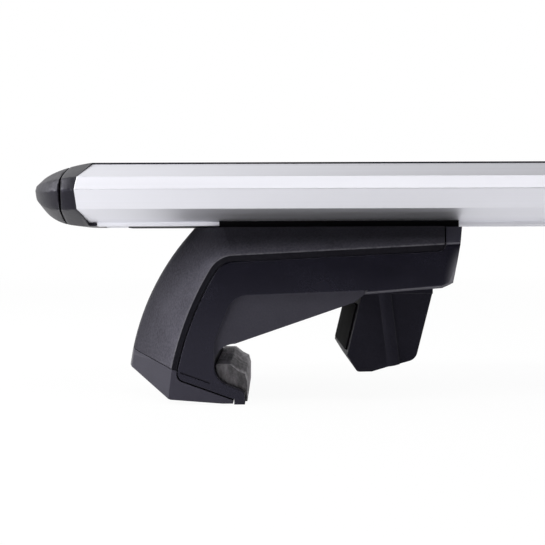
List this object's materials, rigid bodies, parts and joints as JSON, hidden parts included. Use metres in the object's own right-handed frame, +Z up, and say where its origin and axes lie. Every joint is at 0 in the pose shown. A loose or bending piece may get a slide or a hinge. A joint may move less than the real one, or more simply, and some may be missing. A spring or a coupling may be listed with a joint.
{
  "type": "roof rack crossbar",
  "caption": "Aluminium aero roof crossbar with rubber strip, tapered end caps and sliding feet that clamp raised roof rails by hook, jaw and bolt.",
  "frame": {"origin": "ground level under the middle of the bar: z is 0 at the lowest face of the feet", "axes": "+X along the bar to the right, -Y its leading edge, +Z up"},
  "size_m": [1.2004, 0.078, 0.1094],
  "materials": {
    "bar": "satin anodised",
    "strip": "matte",
    "cap": "satin",
    "housing": "satin",
    "cover": "fine leather grain",
    "toe": "satin",
    "pad": "worn matte",
    "jaw": "matte",
    "rubber": "matte",
    "plate": "black anodised",
    "steel": "zinc plated"
  },
  "bodies": {
    "bar": {"bar_extrusion": "bar", "top_strip": "strip", "left_end_collar": "cap", "left_end_nose": "cap", "right_end_collar": "cap", "right_end_nose": "cap"},
    "left_foot": {"left_foot_body": "housing", "left_hook_pad": "pad", "left_saddle_pad": "rubber", "left_slide_plate": "plate", "left_foot_screws": "steel", "left_bolt_washer": "steel"},
    "left_jaw": {"left_jaw": "jaw", "left_jaw_pad": "rubber", "left_jaw_nut": "steel"},
    "left_bolt": {"left_clamp_bolt": "steel", "left_bolt_clip": "steel"},
    "left_cover": {"left_foot_cover": "cover", "left_toe_cap": "toe"},
    "right_foot": {"right_foot_body": "housing", "right_hook_pad": "pad", "right_saddle_pad": "rubber", "right_slide_plate": "plate", "right_foot_screws": "steel", "right_bolt_washer": "steel"},
    "right_jaw": {"right_jaw": "jaw", "right_jaw_pad": "rubber", "right_jaw_nut": "steel"},
    "right_bolt": {"right_clamp_bolt": "steel", "right_bolt_clip": "steel"},
    "right_cover": {"right_foot_cover": "cover", "right_toe_cap": "toe"}
  },
  "joints": [
    {"name": "left_foot_slide", "type": "slide", "parent": "bar", "child": "left_foot", "axis": [1, 0, 0], "range_m": [-0.008, 0.12]},
    {"name": "left_bolt_spin", "type": "hinge", "parent": "left_foot", "child": "left_bolt", "pos_m": [-0.488, 0, 0.061], "axis": [1, 0, 0], "range_deg": [-1440, 7200]},
    {"name": "left_jaw_slide", "type": "slide", "parent": "left_foot", "child": "left_jaw", "axis": [-1, 0, 0], "range_m": [-0.0052, 0.0255]},
    {"name": "left_cover_slide", "type": "slide", "parent": "left_foot", "child": "left_cover", "axis": [-1, 0, 0], "range_m": [0, 0.14]},
    {"name": "right_foot_slide", "type": "slide", "parent": "bar", "child": "right_foot", "axis": [-1, 0, 0], "range_m": [-0.008, 0.12]},
    {"name": "right_bolt_spin", "type": "hinge", "parent": "right_foot", "child": "right_bolt", "pos_m": [0.488, 0, 0.061], "axis": [-1, 0, 0], "range_deg": [-1440, 7200]},
    {"name": "right_jaw_slide", "type": "slide", "parent": "right_foot", "child": "right_jaw", "axis": [1, 0, 0], "range_m": [-0.0052, 0.0255]},
    {"name": "right_cover_slide", "type": "slide", "parent": "right_foot", "child": "right_cover", "axis": [1, 0, 0], "range_m": [0, 0.14]}
  ],
  "couplings": [
    {"joint": "left_jaw_slide", "follows": "left_bolt_spin", "m_per_rad": 0.00019894},
    {"joint": "right_jaw_slide", "follows": "right_bolt_spin", "m_per_rad": 0.00019894}
  ]
}
